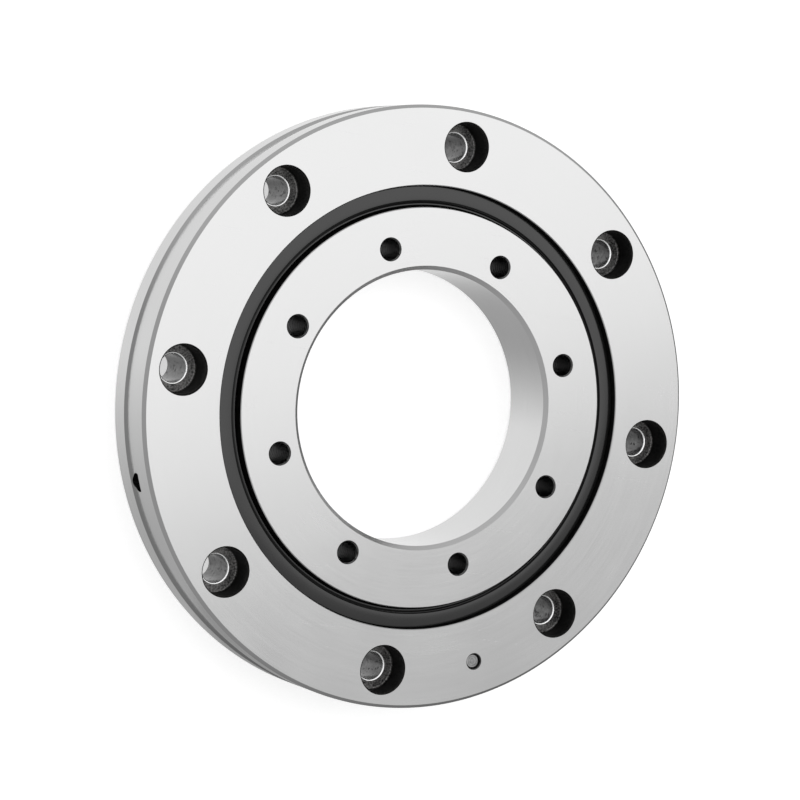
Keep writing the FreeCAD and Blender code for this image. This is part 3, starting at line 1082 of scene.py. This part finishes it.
# %% Card for the near edge of the table, which paints its shade into the rim's reflection
CARD_GAP = 2.0
CARD_DROP = 30.0
CARD_LIGHT = 0.36
card_side = (OUTER_RADIUS + CARD_GAP) * MM
card_foot = -CARD_DROP * MM
card = flat_sheet("table_card", [
    (-card_side, -card_side, 0.0),
    (card_side, -card_side, 0.0),
    (card_side, -card_side, card_foot),
    (-card_side, -card_side, card_foot),
])
card.visible_camera = False
card.visible_diffuse = False
card.visible_shadow = False

# The card's dim glow is a painted reflection of the table's shade, which only the rim mirrors.
card_material = new_material(
    "table_shade_glow", metallic=0.0, Base_Color=gray(0.0), Specular_IOR_Level=0.0,
    Emission_Color=gray(1.0), Emission_Strength=CARD_LIGHT,
)[0]
card.data.materials.append(card_material)
print("card: %.0f by %.0f mm" % (2 * card_side / MM, CARD_DROP))

# %% World: white to the camera, and a plain room by direction otherwise
ROOM_LIGHT = 0.67
ROOM_FOOT_LIGHT = 0.61
HORIZON_LIGHT = 0.18
HORIZON_SIDE_LIGHT = 0.56
HORIZON_LEAN = 0.3
TABLE_LIGHT = 0.46
BACKDROP_LIGHT = 1.0
# Between the two ends of a span, one light turns into the other.
FOOT_TO_ROOM = (-0.40, -0.08)
HORIZON_TO_SIDE = (0.2, 0.7)
HORIZON_TO_ROOM = (-0.25, 0.75)
TABLE_TO_BACKDROP = (-0.46, 0.02)
BELOW_TO_ABOVE = (-0.70, -0.35)
world = bpy.data.worlds.new("studio_room")
bpy.context.scene.world = world
world.use_nodes = True
world.cycles.sampling_method = "NONE"
tree = world.node_tree
toward = add(tree, "ShaderNodeSeparateXYZ", {
    "Vector": add(tree, "ShaderNodeTexCoord").outputs["Object"],
}).outputs
horizon = ranged(tree, toward["Y"], HORIZON_LIGHT, HORIZON_SIDE_LIGHT, *HORIZON_TO_SIDE)
ceiling = ranged(tree, toward["Y"], ROOM_FOOT_LIGHT, ROOM_LIGHT, *FOOT_TO_ROOM)
above = ranged(tree, toward["Z"], horizon, ceiling, *HORIZON_TO_ROOM)
below = ranged(tree, toward["Y"], TABLE_LIGHT, BACKDROP_LIGHT, *TABLE_TO_BACKDROP)
leaning = calculate(tree, "MULTIPLY_ADD", toward["X"], HORIZON_LEAN, toward["Z"])
share_below = ranged(tree, leaning, 1.0, 0.0, *BELOW_TO_ABOVE)
change = calculate(tree, "SUBTRACT", below, above)
room = calculate(tree, "MULTIPLY_ADD", share_below, change, above)
seen = add(tree, "ShaderNodeLightPath").outputs["Is Camera Ray"]
background = tree.nodes["Background"]
background.inputs["Color"].default_value = (1.0, 1.0, 1.0, 1.0)
tree.links.new(calculate(tree, "MAXIMUM", room, seen), background.inputs["Strength"])
print("world:", len(tree.nodes), "nodes")

# %% Softbox
SOFTBOX_PLACE = Vector((0.215, 0.255, 0.615))
SOFTBOX_TURN = math.radians(24)
SOFTBOX_LENGTH = 1.2
SOFTBOX_WIDTH = 0.6
SOFTBOX_POWER = 1.62
lamp = bpy.data.lights.new("softbox", "AREA")
lamp.shape = "RECTANGLE"
lamp.size = SOFTBOX_LENGTH
lamp.size_y = SOFTBOX_WIDTH
lamp.energy = SOFTBOX_POWER
softbox = bpy.data.objects.new("softbox", lamp)
softbox.location = SOFTBOX_PLACE
softbox.rotation_euler = (0.0, 0.0, SOFTBOX_TURN)
softbox.visible_camera = False
bpy.context.scene.collection.objects.link(softbox)
print("softbox: %.2f m above the floor, %.2f W" % (SOFTBOX_PLACE.z, SOFTBOX_POWER))

# %% [markdown]
# ## Camera
#
# The camera looks down at the front face from the left, with a long lens, and the picture's up points
# along the face. Its matrix is built from three directions: where it looks, the picture's right and
# the picture's up.

# %% Camera
CAMERA_PLACE = Vector((-0.2635, -0.0002, 0.5120))
CAMERA_AIM = Vector((-0.00578, 0.00087, 0.015))
PICTURE_UP = math.radians(100.27)
LENS = 127.65
SENSOR = 36.0
CLIP_START = 0.01
forward = (CAMERA_AIM - CAMERA_PLACE).normalized()
right = forward.cross(Vector((math.cos(PICTURE_UP), math.sin(PICTURE_UP), 0.0))).normalized()
up = right.cross(forward)
camera_data = bpy.data.cameras.new("camera")
camera_data.lens = LENS
camera_data.sensor_width = SENSOR
camera_data.clip_start = CLIP_START
camera = bpy.data.objects.new("camera", camera_data)
turned_axes = Matrix((right, up, -forward)).transposed().to_4x4()
camera.matrix_world = Matrix.Translation(CAMERA_PLACE) @ turned_axes
bpy.context.scene.collection.objects.link(camera)
bpy.context.scene.camera = camera
bpy.context.scene.view_settings.view_transform = "Standard"
print("camera looks down at %.1f degrees" % math.degrees(math.asin(-forward.z)))
